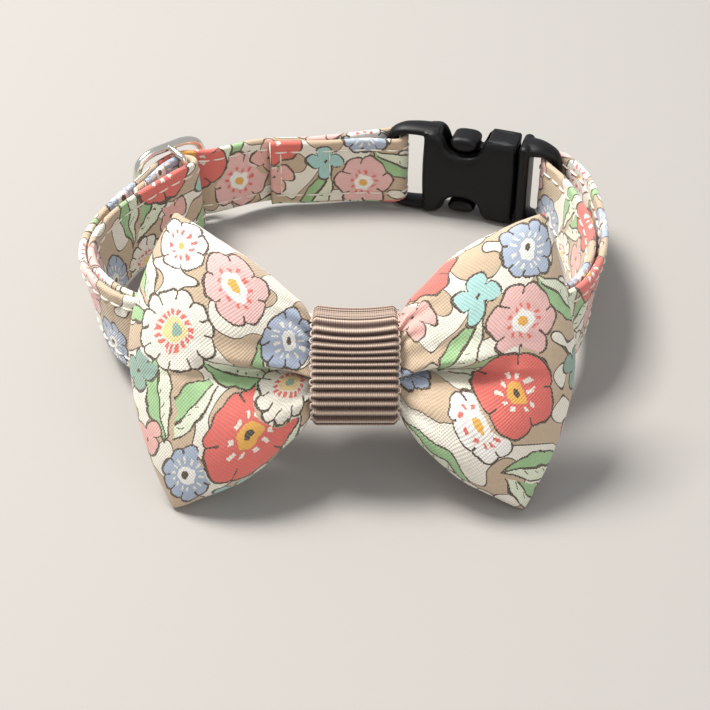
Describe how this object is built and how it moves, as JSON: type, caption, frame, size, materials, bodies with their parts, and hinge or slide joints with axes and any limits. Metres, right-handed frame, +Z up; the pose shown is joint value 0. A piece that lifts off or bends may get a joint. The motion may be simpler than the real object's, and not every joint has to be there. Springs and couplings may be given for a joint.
{
  "type": "pet bow tie collar",
  "caption": "Small pet collar of folded floral cotton strap in a ring, with a puffed bow tied on by a ribbed ribbon, a side-release buckle and a slider.",
  "frame": {"origin": "on the surface that the collar lies on, under the middle of its bounding box", "axes": "+Z up from the surface; -Y towards the bow's front; the buckle is at the back right, towards +Y and +X"},
  "size_m": [0.0674, 0.0668, 0.0267],
  "materials": {
    "floral_cotton": "printed plain-weave cotton",
    "grosgrain": "ribbed ribbon",
    "black_plastic": "satin moulded",
    "nickel": "plated wire"
  },
  "bodies": {
    "root": {"strap": "floral_cotton", "slider": "nickel", "buckle_socket": "black_plastic", "buckle_plug": "black_plastic", "bow": "floral_cotton", "centre_wrap": "grosgrain"}
  },
  "joints": []
}
